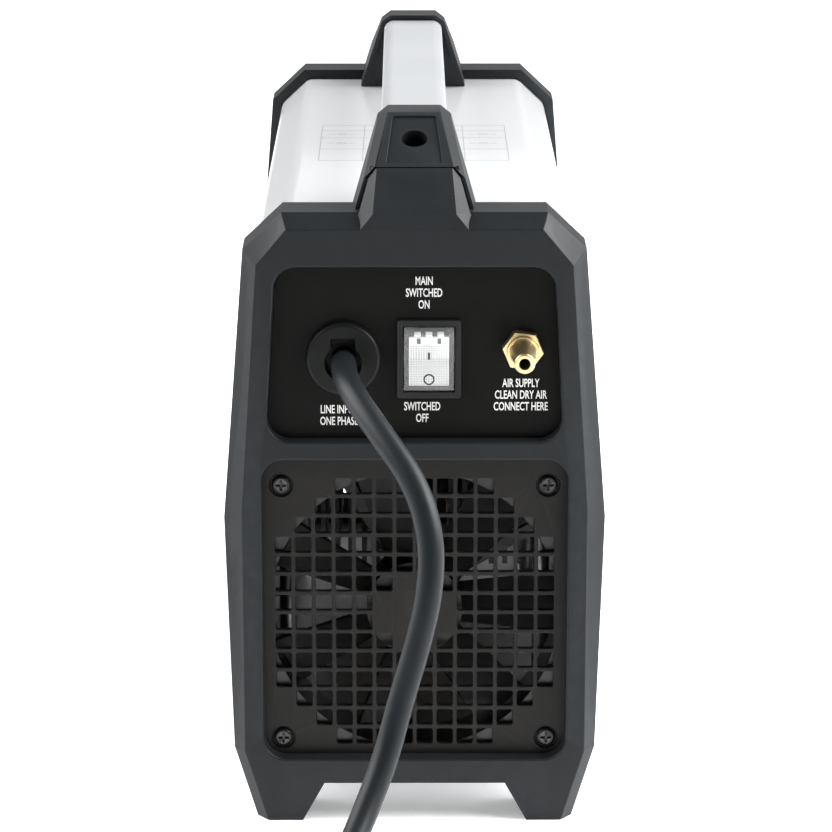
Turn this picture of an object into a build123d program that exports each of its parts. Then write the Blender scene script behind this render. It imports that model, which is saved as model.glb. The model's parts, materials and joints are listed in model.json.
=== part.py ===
# Compact inverter plasma cutter, built as it comes apart on a bench.
# Frame: +Z up, +Y towards the torch end, -Y is the rear with the mains lead,
# origin on the floor under the middle of the case. Millimetres.
import os
from math import atan, cos, degrees, pi, radians, sin, tan

from build123d import *

os.makedirs("parts", exist_ok=True)

# ---------------------------------------------------------------- driving dimensions
body_length = 362.0
fascia_depth = 25.0
bevel_depth = 6.0
skin = 3.0                  # moulded wall of the fascias
handle_top = 279.0
cover_inset = 4.5           # how far the steel cover sits inside the fascia outline
sheet = 1.2                 # steel sheet of the cover and the tray
cover_bend = 6.0            # outer radius of the cover's folds
floor_z = 19.0              # underside of the tray
recess_depth = 6.0
grille_recess_depth = 6.5
reach = 20.0                # how far the fittings stand out of each end

y_rear = -body_length / 2
y_mouth = y_rear + fascia_depth         # where the cover comes out of the fascia
y_panel = y_rear + recess_depth         # outer face of a control panel
y_grille = y_rear + grille_recess_depth

# Half outlines as (half width, height), from the top down to the foot.
rim_half = [(51.3, 247.3), (66.5, 233.0), (75.0, 125.0), (72.0, 29.3), (63.0, 0.0)]
face_half = [(49.4, 241.5), (61.1, 227.4), (67.6, 130.0), (67.5, 29.4), (58.4, 0.0)]
arch_half = [(36.0, 15.8), (44.7, 0.0), (45.9, -2.0)]
panel_window_half = [(54.0, 226.7), (57.9, 157.2)]
lower_window_half = [(60.0, 149.7), (60.0, 26.0)]
window_corner = 9.0
window_lip = 1.0            # rounding round the windows
edge_round = 0.8            # moulded edges of the fascias' faces
rim_round = 0.5
window_lap = 3.0            # how far the plates reach behind their windows
rim_top = rim_half[0][1]
cover_top = rim_top - cover_inset

grille_z = 85.3             # centre of the grille, the fan and its screws
screw_square = 105.0        # hole spacing of a 120 mm fan

switch_x, switch_z = 5.6, 189.3
gland_x, gland_z = -27.7, 189.7
cord_exit_z = 188.3         # the gland's hole sits a little low in its flange
gas_x, gas_z = 42.0, 193.4
torch_x, socket_z = 27.0, 98.0
work_x = -27.0
knob_x, knob_z = 26.0, 184.0
button_x, button_z = -24.0, 182.0
display_x, display_z = -20.0, 209.0

grip_width = 26.5
grip_thick = 11.0
grip_top = handle_top - 2.5
post_foot = 46.0            # from the end face to the foot of a handle post
post_top = 63.1             # from the end face to the top inner edge of the post

cord_radius = 5.0
coil_radii = (54.8, 65.2)   # centre lines of the inner and the outer turns

foot_screw_x, foot_screw_y = 53.0, 160.5

saved_names = []


# ---------------------------------------------------------------- helpers
def across(y):
    """Upright plane at a station along the case, drawn as seen from the rear."""
    return Plane.XZ.offset(-y)


def closed(half):
    """A half outline and its mirror image, as one closed ring of points."""
    return half + [(-x, z) for x, z in reversed(half)]


def ring(points):
    """A face with straight sides, inside a sketch."""
    with BuildLine() as outline:
        Polyline(*points, close=True)
    make_face(outline.edges())


def rounded(half, radius, grow=0.0):
    """A window outline with round corners, inside a sketch."""
    with BuildLine() as outline:
        FilletPolyline(*closed(half), radius=radius, close=True)
    with BuildSketch() as window:
        make_face(outline.edges())
        if grow:
            offset(amount=grow)
    add(window.sketch_local)


def inset_rim(inset, low_z, high_z=300.0, bend=0.0):
    """The case outline moved inwards and cut off below and above, inside a sketch."""
    with BuildSketch() as outline:
        ring(closed(rim_half))
        offset(amount=-inset, kind=Kind.INTERSECTION)
        if bend:
            fillet(outline.vertices().filter_by(lambda corner: corner.Y > 100), radius=bend)
        with Locations((0, (low_z + high_z) / 2)):
            Rectangle(200, high_z - low_z, mode=Mode.INTERSECT)
    add(outline.sketch_local)


def disc(x, z, y_from, y_to, radius, mode=Mode.ADD):
    """A cylinder that runs along Y, inside a part."""
    with BuildSketch(across(y_from)) as end:
        with Locations((x, z)):
            Circle(radius)
    extrude(end.sketch, amount=-(y_to - y_from), mode=mode)


def block(low, high, mode=Mode.ADD):
    """A box given by two corners, inside a part."""
    with Locations(tuple((a + b) / 2 for a, b in zip(low, high))):
        Box(*(b - a for a, b in zip(low, high)), mode=mode)


def save(piece, name):
    piece.part.label = name
    export_step(piece.part, f"parts/{name}.step")
    saved_names.append(name)


def twin(piece, name):
    """Save the same piece at the other end of the case."""
    with BuildPart() as other_end:
        mirror(piece.part, about=Plane.XZ)
    save(other_end, name)


# ---------------------------------------------------------------- handle geometry
core_half, core_top, core_back = 13.5, 255.5, 44.5
slant_foot = (y_rear + 15.5, 263.0)         # seam between the neck and the handle end
slant_head = (y_rear + 46.8, handle_top)
slant_angle = degrees(atan((slant_head[1] - slant_foot[1]) / (slant_head[0] - slant_foot[0])))


def flank(z):
    """Half width of a handle post at a height: it spreads towards its foot."""
    return 14.8 + 0.3 * (275.0 - z)


def neck_plan(level, gap):
    """Plan of the neck at one height: its nose, its cheeks and its back."""
    nose_half, nose_y, cheek_half, cheek_y, back_y = level
    half = [(nose_half + gap, y_rear + nose_y - gap), (cheek_half + gap, y_rear + cheek_y - gap),
            (cheek_half + gap, y_rear + back_y + gap)]
    ring(closed(half))


def neck(gap=0.0, mode=Mode.ADD):
    """The slanted neck of the fascia and the block behind it that takes the handle bolt."""
    levels = [(241.0, (21.3, 0.0, 24.4, 5.0, 24.0)),
              (247.5, (16.1, 0.3, 21.2, 5.0, 24.0)),
              (262.6, (14.6, 15.0, 16.7, 17.5, 21.0))]
    for (low_z, low), (high_z, high) in zip(levels, levels[1:]):
        with BuildSketch(Plane.XY.offset(low_z)) as bottom:
            neck_plan(low, gap)
        with BuildSketch(Plane.XY.offset(high_z + gap)) as top:
            neck_plan(high, gap)
        loft([bottom.sketch, top.sketch], ruled=True, mode=mode)
    block((-core_half - gap, y_rear + 14, cover_top + 0.4 - gap),
          (core_half + gap, y_rear + core_back + gap, core_top + gap), mode)


def slant_plane(station):
    """Plane on the slanted face of a handle end, at a distance from the end face."""
    height = slant_foot[1] + (y_rear + station - slant_foot[0]) * tan(radians(slant_angle))
    normal = (0, -sin(radians(slant_angle)), cos(radians(slant_angle)))
    return Plane(origin=(0, y_rear + station, height), x_dir=(1, 0, 0), z_dir=normal)


bolt_plane = slant_plane(32.5)


# ---------------------------------------------------------------- fascias
def is_face_edge(edge):
    """Edges of the flat face and of the bevel's facets, above the floor."""
    on_face = edge.center().Y < y_rear + 0.1
    across_bevel = y_rear + 1 < edge.center().Y < y_rear + bevel_depth - 1 and edge.length < 12
    return edge.center().Z > 1 and (on_face or across_bevel)


def is_rim_edge(edge):
    """Long edges where the bevel meets the sides of the moulding."""
    on_rim = abs(edge.center().Y - y_rear - bevel_depth) < 0.1
    return edge.center().Z > 1 and on_rim and edge.length > 5


def fascia_blank():
    """Hollow moulding with a bevelled face, two feet and the neck of the handle."""
    with BuildPart() as blank:
        with BuildSketch(across(y_rear)):
            ring(closed(face_half))
        with BuildSketch(across(y_rear + bevel_depth)):
            ring(closed(rim_half))
        loft(ruled=True)
        with BuildSketch(across(y_rear + bevel_depth)):
            ring(closed(rim_half))
        extrude(amount=-(fascia_depth - bevel_depth))
        fillet(blank.edges().filter_by(is_face_edge), radius=edge_round)
        fillet(blank.edges().filter_by(is_rim_edge), radius=rim_round)
        with BuildSketch(across(y_rear - 1)):
            ring(closed(arch_half))
        extrude(amount=-(fascia_depth + 2), mode=Mode.SUBTRACT)
        neck()
        # The cavity steps in behind the mouth, so that the cover has a ledge to stop on.
        with BuildSketch(across(y_mouth - 10.2)):
            inset_rim(cover_inset - 0.3, floor_z)
        extrude(amount=-10.2, mode=Mode.SUBTRACT)
        with BuildSketch(across(y_rear + skin + 0.4)):
            ring(closed(face_half))
            offset(amount=-skin, kind=Kind.INTERSECTION)
            with Locations((0, floor_z + 150)):
                Rectangle(200, 300, mode=Mode.INTERSECT)
        extrude(amount=-(fascia_depth - skin - 10), mode=Mode.SUBTRACT)
        # Skirts round both windows carry the plates that stand behind them.
        for half, plate_y in ((panel_window_half, y_panel), (lower_window_half, y_grille)):
            with BuildSketch(across(y_rear + skin)):
                rounded(half, window_corner, window_lap - 0.4)
            extrude(amount=-(plate_y - y_rear - skin))
        for half in (panel_window_half, lower_window_half):
            with BuildSketch(across(y_rear - 1)):
                rounded(half, window_corner)
            extrude(amount=-12, mode=Mode.SUBTRACT)
        front_face = blank.faces().filter_by(Axis.Y).sort_by(Axis.Y)[0]
        fillet([edge for wire in front_face.inner_wires() for edge in wire.edges()], radius=window_lip)
        with Locations(bolt_plane):
            Cylinder(2.6, 60, mode=Mode.SUBTRACT)
        with Locations((foot_screw_x, -foot_screw_y, floor_z), (-foot_screw_x, -foot_screw_y, floor_z)):
            Cylinder(1.9, 28, mode=Mode.SUBTRACT)
    return blank.part


def make_fascias():
    blank = fascia_blank()
    with BuildPart() as rear_fascia:
        add(blank)
    save(rear_fascia, "rear_fascia")
    twin(rear_fascia, "front_fascia")


# ---------------------------------------------------------------- handle
def make_handle():
    pocket_top, post_wall = grip_top + 0.1, 2.1
    bolt_sink = 12.5            # how deep the bolt's head sits
    with BuildPart() as handle_end:
        with BuildSketch(across(y_rear)):
            ring(closed([(flank(handle_top), handle_top), (flank(cover_top), cover_top)]))
        extrude(amount=-80)
        with BuildSketch(Plane.YZ):
            ring([(y_rear + 12.0, rim_top + 0.2), slant_foot, slant_head,
                  (y_rear + post_top, handle_top), (y_rear + post_foot, cover_top + 0.2),
                  (y_mouth + 0.2, cover_top + 0.2), (y_mouth + 0.2, rim_top + 0.2)])
        extrude(amount=40, both=True, mode=Mode.INTERSECT)
        outer_edges = handle_end.edges().filter_by(
            lambda e: abs(e.center().X) > 10 and e.center().Z > slant_foot[1] + 3)
        chamfer(outer_edges, length=3.2)
        neck(gap=0.2, mode=Mode.SUBTRACT)
        # Shallow panel round the bolt.
        with BuildSketch(slant_plane(31.0)):
            ring(closed([(8.6, 15.2), (11.0, -15.0)]))
            fillet(vertices(), radius=1.2)
        extrude(amount=-0.8, mode=Mode.SUBTRACT)
        with Locations(bolt_plane):
            CounterBoreHole(radius=2.75, counter_bore_radius=5.15, counter_bore_depth=bolt_sink, depth=30)
        # Pocket that the grip stands in, with a tenon for its hollow.
        with BuildSketch(across(y_rear + 52.5)):
            ring(closed([(flank(pocket_top) - post_wall, pocket_top),
                         (flank(cover_top + 3) - post_wall, cover_top + 3)]))
            fillet(vertices().group_by(Axis.Y)[-1], radius=3.8)
        extrude(amount=-20, mode=Mode.SUBTRACT)
        with BuildSketch(Plane.YZ):
            ring([(y_rear + 35, core_top + 0.2), (y_rear + core_back + 0.2, core_top + 0.2),
                  (y_rear + 52.5, core_top - 1.5), (y_rear + 52.5, cover_top + 3), (y_rear + 35, cover_top + 3)])
        extrude(amount=core_half + 0.2, both=True, mode=Mode.SUBTRACT)
        with BuildSketch(across(y_rear + 50)):
            with Locations((0, grip_top - grip_thick / 2)):
                RectangleRounded(grip_width - 4.6, grip_thick - 4.6, 2.2)
        extrude(amount=-22)
    save(handle_end, "rear_handle_end")
    twin(handle_end, "front_handle_end")

    grip_end = y_rear + 53.2
    with BuildPart() as grip:
        with BuildSketch(across(grip_end)):
            with Locations((0, grip_top - grip_thick / 2)):
                RectangleRounded(grip_width, grip_thick, 4.5)
                RectangleRounded(grip_width - 4, grip_thick - 4, 2.5, mode=Mode.SUBTRACT)
        extrude(amount=2 * grip_end)
    save(grip, "handle_grip")

    with BuildPart() as bolt:
        with Locations(bolt_plane.offset(-bolt_sink)):
            Cylinder(4.2, 4.0, align=(Align.CENTER, Align.CENTER, Align.MIN))
            Cylinder(2.5, 12.5, align=(Align.CENTER, Align.CENTER, Align.MAX))
        with BuildSketch(bolt_plane.offset(4.0 - bolt_sink)):
            RegularPolygon(2.3, 6)
        extrude(amount=-2.8, mode=Mode.SUBTRACT)
    save(bolt, "rear_handle_bolt")
    twin(bolt, "front_handle_bolt")


# ---------------------------------------------------------------- casing
side_screw_z = 38.0
side_screw_ys = (-130.0, 0.0, 130.0)


def side_half(z):
    """Half width of the cover's outside below its widest line."""
    (wide, wide_z), (low, low_z) = rim_half[2], rim_half[3]
    return low + (wide - low) * (z - low_z) / (wide_z - low_z) - cover_inset


def make_cover():
    cover_end = y_mouth - 10.0
    with BuildPart() as cover:
        with BuildSketch(across(cover_end)):
            inset_rim(cover_inset, floor_z + 0.2, bend=cover_bend)
        extrude(amount=2 * cover_end)
        with BuildSketch(across(cover_end - 1)):
            inset_rim(cover_inset + sheet, floor_z - 5, bend=cover_bend - sheet)
        extrude(amount=2 * (cover_end - 1), mode=Mode.SUBTRACT)
        # Outlet slots low on both sides, near the torch end.
        with BuildSketch(Plane.YZ):
            with Locations((88, 92)):
                with GridLocations(38, 9, 2, 8):
                    SlotOverall(30, 4)
        extrude(amount=90, both=True, mode=Mode.SUBTRACT)
        with BuildSketch(Plane.YZ):
            with Locations(*((y, side_screw_z) for y in side_screw_ys)):
                Circle(2.2)
        extrude(amount=90, both=True, mode=Mode.SUBTRACT)
    save(cover, "cover")

    with BuildPart() as tray:
        with BuildSketch(across(cover_end)):
            inset_rim(cover_inset + sheet + 0.3, floor_z, 52)
        extrude(amount=2 * cover_end)
        with BuildSketch(across(cover_end - 1)):
            inset_rim(cover_inset + 2 * sheet + 0.3, floor_z + sheet, 60)
        extrude(amount=2 * (cover_end - 1), mode=Mode.SUBTRACT)
        with BuildSketch(Plane.YZ):
            with Locations(*((y, side_screw_z) for y in side_screw_ys)):
                Circle(2.1)
        extrude(amount=90, both=True, mode=Mode.SUBTRACT)
        with Locations((0, 0, floor_z)):
            with GridLocations(2 * foot_screw_x, 2 * foot_screw_y, 2, 2):
                Cylinder(2.0, 10, mode=Mode.SUBTRACT)
    save(tray, "base_tray")

    with BuildPart() as side_screws:
        for y in side_screw_ys:
            for side in (-1, 1):
                seat = side * (side_half(side_screw_z) + 0.2)
                lean = Plane(origin=(seat, y, side_screw_z), x_dir=(0, 1, 0), z_dir=(side, 0, 0))
                with BuildSketch(lean):
                    Circle(3.8)
                extrude(amount=2.2, taper=18)
                with BuildSketch(lean):
                    Circle(2.0)
                extrude(amount=-9)
                with BuildSketch(lean.offset(2.2)):
                    Rectangle(4.0, 0.9)
                    Rectangle(0.9, 4.0)
                extrude(amount=-1.1, mode=Mode.SUBTRACT)
    save(side_screws, "cover_screws")

    with BuildPart() as tray_screws:
        with Locations((0, 0, floor_z + sheet)):
            with GridLocations(2 * foot_screw_x, 2 * foot_screw_y, 2, 2):
                Cylinder(3.4, 2.2, align=(Align.CENTER, Align.CENTER, Align.MIN))
                Cylinder(1.8, 13, align=(Align.CENTER, Align.CENTER, Align.MAX))
    save(tray_screws, "tray_screws")


# ---------------------------------------------------------------- rear panel and fan
def make_rear_panel():
    with BuildPart() as rear_panel:
        with BuildSketch(across(y_panel)):
            rounded(panel_window_half, window_corner, window_lap)
            with Locations((switch_x, switch_z)):
                Rectangle(21.8, 27.8, mode=Mode.SUBTRACT)
            with Locations((gland_x, gland_z)):
                Circle(11.2, mode=Mode.SUBTRACT)
            with Locations((gas_x, gas_z)):
                Circle(5.4, mode=Mode.SUBTRACT)
        extrude(amount=-2)
    save(rear_panel, "rear_panel")

    with BuildPart() as fan_grille:
        with BuildSketch(across(y_grille)):
            rounded(lower_window_half, window_corner, window_lap)
        extrude(amount=-3)
        with BuildSketch(across(y_grille)):
            with Locations(*grille_holes()):
                RectangleRounded(6.4, 6.4, 0.8)
        extrude(amount=-3, mode=Mode.SUBTRACT)
        with Locations(across(y_grille)):
            with Locations((0, grille_z)):
                with GridLocations(screw_square, screw_square, 2, 2):
                    CounterBoreHole(radius=2.2, counter_bore_radius=4.75, counter_bore_depth=1.7)
    save(fan_grille, "fan_grille")


def grille_holes():
    """Square holes on an 8 mm grid, left out in the corners and over the fan's hub."""
    count, pitch = 14, 8.0
    holes = []
    for row in range(count):
        for column in range(count):
            from_corner = min(row, count - 1 - row) + min(column, count - 1 - column)
            from_hub = abs(row - (count - 1) / 2) + abs(column - (count - 1) / 2)
            if from_corner >= 3 and from_hub > 2:
                holes.append(((column - (count - 1) / 2) * pitch, grille_z + (row - (count - 1) / 2) * pitch))
    return holes


def make_fan():
    front_y = y_grille + 3.2
    back_y = front_y + 25
    axle_z = (0, grille_z)
    with BuildPart() as fan_frame:
        with BuildSketch(across(front_y)):
            with Locations(axle_z):
                RectangleRounded(119, 119, 6)
                Circle(57.5, mode=Mode.SUBTRACT)
                with GridLocations(screw_square, screw_square, 2, 2):
                    Circle(2.15, mode=Mode.SUBTRACT)
        extrude(amount=-25)
        # Motor seat held by four struts on the inner side.
        with BuildSketch(across(back_y)):
            with Locations(axle_z):
                Circle(19)
                with PolarLocations(38.5, 4, start_angle=30):
                    Rectangle(41, 5)
                Circle(4.0, mode=Mode.SUBTRACT)
        extrude(amount=3)
    save(fan_frame, "fan_frame")

    with BuildPart() as fan_bearing:
        disc(0, grille_z, back_y - 3, back_y, 4.0)
        disc(0, grille_z, back_y - 4, back_y + 1, 1.55, Mode.SUBTRACT)
    save(fan_bearing, "fan_bearing")

    with BuildPart() as fan_motor:
        disc(0, grille_z, back_y - 18, back_y - 3, 15.0)
        disc(0, grille_z, back_y - 19, back_y - 2, 2.4, Mode.SUBTRACT)
    save(fan_motor, "fan_motor")

    blade_count = 7
    blade_ends = ((17.8, 40.0, 17.0), (56.2, 22.0, 24.0))    # radius, pitch angle, chord
    blade_y = front_y + 11
    with BuildPart() as fan_rotor:
        for blade in range(blade_count):
            turn = 2 * pi * blade / blade_count
            for radius, pitch_angle, chord in blade_ends:
                slope = radians(pitch_angle)
                root = Plane(
                    origin=(radius * cos(turn), blade_y, grille_z + radius * sin(turn)),
                    x_dir=(-sin(turn) * cos(slope), sin(slope), cos(turn) * cos(slope)),
                    z_dir=(cos(turn), 0, sin(turn)))
                with BuildSketch(root):
                    Rectangle(chord, 1.7)
            loft(ruled=True)
        disc(0, grille_z, front_y + 2, front_y + 20, 19.0)
        disc(0, grille_z, front_y + 4, front_y + 21, 16.5, Mode.SUBTRACT)
        disc(0, grille_z, front_y + 3, back_y - 0.3, 1.5)
        with BuildSketch(across(front_y + 2)):
            with Locations(axle_z):
                Circle(14)
                Circle(12.6, mode=Mode.SUBTRACT)
        extrude(amount=-0.7, mode=Mode.SUBTRACT)
    save(fan_rotor, "fan_rotor")

    with BuildPart() as grille_screws:
        with Locations(across(y_grille + 1.7)):
            with Locations((0, grille_z)):
                with GridLocations(screw_square, screw_square, 2, 2):
                    Cylinder(3.6, 1.9, align=(Align.CENTER, Align.CENTER, Align.MIN))
                    Cylinder(2.0, 24, align=(Align.CENTER, Align.CENTER, Align.MAX))
        fillet(grille_screws.faces().group_by(Axis.Y)[0].edges(), radius=0.9)
        with BuildSketch(across(y_grille - 0.2)):
            with Locations((0, grille_z)):
                with GridLocations(screw_square, screw_square, 2, 2):
                    Rectangle(4.2, 0.9)
                    Rectangle(0.9, 4.2)
        extrude(amount=-1.2, mode=Mode.SUBTRACT)
    save(grille_screws, "grille_screws")


# ---------------------------------------------------------------- power switch
rocker_swing = 9.0          # each way from level
rocker_pivot = (y_panel, switch_z)


def make_switch():
    """Rocker switch; it rests with the lower half pressed in, which is off."""
    pivot_y, pivot_z = rocker_pivot
    with BuildPart() as switch_housing:
        with BuildSketch(across(y_panel - 2)):
            with Locations((switch_x, switch_z)):
                RectangleRounded(25.0, 31.2, 1.2)
        extrude(amount=-2, taper=0)
        with BuildSketch(across(y_panel)):
            with Locations((switch_x, switch_z)):
                Rectangle(21.4, 27.4)
        extrude(amount=-22)
        with BuildSketch(across(y_panel - 3)):
            with Locations((switch_x, switch_z)):
                Rectangle(20.2, 26.0)
        extrude(amount=-14, mode=Mode.SUBTRACT)
        with Locations((switch_x, pivot_y, pivot_z)):
            Cylinder(1.45, 21.6, rotation=(0, 90, 0), mode=Mode.SUBTRACT)
    save(switch_housing, "switch_housing")

    with BuildPart() as rocker:
        swing = radians(rocker_swing)
        with BuildSketch(Plane(origin=(switch_x, pivot_y, pivot_z), x_dir=(0, cos(swing), sin(swing)),
                               z_dir=(1, 0, 0))):
            with BuildLine():
                Polyline((-4.0, 12.0), (-2.0, 0.0), (-4.0, -12.0))
                ThreePointArc((-4.0, -12.0), (-0.4, -12.65), (2.2, -12.4))
                Polyline((2.2, -12.4), (5.0, -5.0), (5.0, 5.0), (2.2, 12.4))
                ThreePointArc((2.2, 12.4), (-0.4, 12.65), (-4.0, 12.0))
            make_face()
        extrude(amount=9.75, both=True)
        with Locations((switch_x, pivot_y, pivot_z)):
            Cylinder(1.4, 21.2, rotation=(0, 90, 0))
    save(rocker, "switch_rocker")

    with BuildPart() as terminals:
        with Locations((switch_x, y_panel + 22 + 4, switch_z)):
            with Locations((-6, 0, -8), (6, 0, -8), (-6, 0, 0), (6, 0, 0)):
                Box(4.8, 8, 0.8)
    save(terminals, "switch_terminals")


# ---------------------------------------------------------------- gland and gas inlet
def make_gland():
    with BuildPart() as cord_gland:
        disc(gland_x, gland_z, y_panel - 4.5, y_panel, 14.5)
        fillet(cord_gland.edges().group_by(Axis.Y)[0], radius=1.6)
        disc(gland_x, gland_z, y_panel, y_panel + 15, 11.0)
        disc(gland_x, cord_exit_z, y_panel - 5, cord_start_y, 7.15, Mode.SUBTRACT)
        block((gland_x - 4.7, y_panel - 5, gland_z), (gland_x + 4.7, cord_start_y - 2, gland_z + 8.3),
              Mode.SUBTRACT)
    save(cord_gland, "cord_gland")

    with BuildPart() as gland_nut:
        with BuildSketch(across(y_panel + 2)):
            with Locations((gland_x, gland_z)):
                RegularPolygon(14, 6, major_radius=False)
                Circle(11.0, mode=Mode.SUBTRACT)
        extrude(amount=-6)
    save(gland_nut, "gland_nut")


def make_gas_inlet():
    tip_y = y_rear - reach
    with BuildPart() as gas_inlet:
        with BuildSketch(across(y_panel - 5.5)):
            with Locations((gas_x, gas_z)):
                RegularPolygon(7.0, 6, major_radius=False, rotation=-7)
        extrude(amount=-5.5)
        disc(gas_x, gas_z, y_panel - 7.5, y_panel - 5.5, 6.2)
        with BuildSketch(across(y_panel - 7.5)):
            with Locations((gas_x, gas_z)):
                Circle(5.3)
        with BuildSketch(across(tip_y + 7)):
            with Locations((gas_x, gas_z)):
                Circle(4.0)
        loft()
        disc(gas_x, gas_z, tip_y, tip_y + 7, 4.0)
        chamfer(gas_inlet.edges().group_by(Axis.Y)[0], length=0.5)
        disc(gas_x, gas_z, y_panel, y_panel + 10, 5.2)
        disc(gas_x, gas_z, y_panel + 10, y_panel + 24, 3.4)
        disc(gas_x, gas_z, tip_y - 1, y_panel + 25, 2.15, Mode.SUBTRACT)
    save(gas_inlet, "gas_inlet")

    with BuildPart() as gas_nut:
        with BuildSketch(across(y_panel + 2)):
            with Locations((gas_x, gas_z)):
                RegularPolygon(7.5, 6, major_radius=False)
                Circle(5.2, mode=Mode.SUBTRACT)
        extrude(amount=-5)
    save(gas_nut, "gas_inlet_nut")

    with BuildPart() as gas_hose:
        disc(gas_x, gas_z, y_panel + 13, y_panel + 36, 5.5)
        disc(gas_x, gas_z, y_panel + 12, y_panel + 37, 3.4, Mode.SUBTRACT)
    save(gas_hose, "gas_hose_in")

    valve_y = y_panel + 36
    with BuildPart() as gas_valve:
        block((gas_x - 11, valve_y, gas_z - 12), (gas_x + 11, valve_y + 34, gas_z + 6))
        disc(gas_x, gas_z, valve_y + 34, valve_y + 46, 3.4)
        disc(gas_x, gas_z, valve_y - 1, valve_y + 47, 2.15, Mode.SUBTRACT)
    save(gas_valve, "gas_valve")
    with BuildPart() as valve_coil:
        block((gas_x - 11, valve_y + 4, gas_z + 6), (gas_x + 11, valve_y + 30, gas_z + 30))
        fillet(valve_coil.edges().filter_by(Axis.Z), radius=3)
    save(valve_coil, "gas_valve_coil")

    with BuildPart() as hose_out:
        with BuildLine() as hose_route:
            FilletPolyline((gas_x, valve_y + 36, gas_z), (gas_x, 98, gas_z), (38, 124, 150),
                           (torch_x, 125, socket_z + 5), (torch_x, 158, socket_z + 5), radius=13)
        start = Plane(origin=hose_route.line @ 0, z_dir=hose_route.line % 0)
        with BuildSketch(start):
            Circle(5.5)
            Circle(3.4, mode=Mode.SUBTRACT)
        sweep()
    save(hose_out, "gas_hose_out")


# ---------------------------------------------------------------- torch end
def make_front_panel():
    """Everything here is drawn at the rear and mirrored, so y runs inwards from the face."""
    with BuildPart() as front_panel:
        with BuildSketch(across(y_panel)):
            rounded(panel_window_half, window_corner, window_lap)
            with Locations((display_x, display_z)):
                RectangleRounded(46.4, 20.4, 1.2, mode=Mode.SUBTRACT)
            with Locations((knob_x, knob_z)):
                Circle(3.8, mode=Mode.SUBTRACT)
            with Locations((button_x, button_z)):
                Circle(7.6, mode=Mode.SUBTRACT)
            with Locations(*((x, display_z) for x in lamp_xs)):
                Circle(2.1, mode=Mode.SUBTRACT)
        extrude(amount=-2)
    twin(front_panel, "front_panel")

    with BuildPart() as display_lens:
        with BuildSketch(across(y_panel - 0.8)):
            with Locations((display_x, display_z)):
                RectangleRounded(46, 20, 1.0)
        extrude(amount=-2.8)
    twin(display_lens, "display_lens")

    with BuildPart() as display_module:
        block((display_x - 20, y_panel + 3, display_z - 8), (display_x + 20, y_panel + 11, display_z + 8))
    twin(display_module, "display_module")

    with BuildPart() as lamps:
        for x in lamp_xs:
            disc(x, display_z, y_panel - 1.0, y_panel + 11, 2.0)
        fillet(lamps.edges().group_by(Axis.Y)[0], radius=0.9)
    twin(lamps, "indicator_lamps")

    with BuildPart() as control_board:
        block((-50, y_panel + 12, 163), (50, y_panel + 13.6, 222))
    twin(control_board, "control_board")

    with BuildPart() as board_pillars:
        with Locations(across(y_panel + 12)):
            with Locations((0, 192.5)):
                with GridLocations(92, 50, 2, 2):
                    Cylinder(2.5, 10, align=(Align.CENTER, Align.CENTER, Align.MIN))
    twin(board_pillars, "control_board_pillars")


lamp_xs = (14.0, 26.0, 38.0)
knob_depth = 15.0


def make_knob():
    with BuildPart() as potentiometer:
        disc(knob_x, knob_z, y_panel + 2.2, y_panel + 11.8, 8.5)
        disc(knob_x, knob_z, y_panel - 3.5, y_panel + 2.2, 3.6)
        disc(knob_x, knob_z, y_panel - 4, y_panel + 8, 3.05, Mode.SUBTRACT)
    twin(potentiometer, "potentiometer")

    with BuildPart() as shaft:
        disc(knob_x, knob_z, y_panel - 13, y_panel + 7.8, 3.0)
    twin(shaft, "knob_shaft")

    knob_face = y_panel - knob_depth - 1
    with BuildPart() as knob:
        with BuildSketch(across(y_panel - 1)):
            with Locations((knob_x, knob_z)):
                Circle(14)
        extrude(amount=knob_depth, taper=5)
        fillet(knob.edges().group_by(Axis.Y)[0], radius=1.2)
        with BuildSketch(across(y_panel - 1)):
            with Locations((knob_x, knob_z)):
                with PolarLocations(14.3, 18):
                    Circle(1.1)
        extrude(amount=knob_depth - 3, mode=Mode.SUBTRACT)
        with BuildSketch(across(knob_face)):
            with Locations((knob_x, knob_z + 8.5)):
                SlotOverall(6, 1.4, rotation=90)
        extrude(amount=-0.8, mode=Mode.SUBTRACT)
        disc(knob_x, knob_z, y_panel - 5, y_panel, 6.0, Mode.SUBTRACT)
        disc(knob_x, knob_z, y_panel - 13.2, y_panel, 3.02, Mode.SUBTRACT)
    twin(knob, "current_knob")


def make_button():
    with BuildPart() as housing:
        disc(button_x, button_z, y_panel - 2, y_panel, 9.5)
        fillet(housing.edges().group_by(Axis.Y)[0], radius=0.8)
        disc(button_x, button_z, y_panel, y_panel + 11.5, 7.5)
        disc(button_x, button_z, y_panel - 3, y_panel + 9.5, 6.4, Mode.SUBTRACT)
    twin(housing, "button_housing")
    with BuildPart() as button:
        disc(button_x, button_z, y_panel - 4.5, y_panel + 5, 6.0)
        fillet(button.edges().group_by(Axis.Y)[0], radius=0.8)
    twin(button, "push_button")


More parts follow.
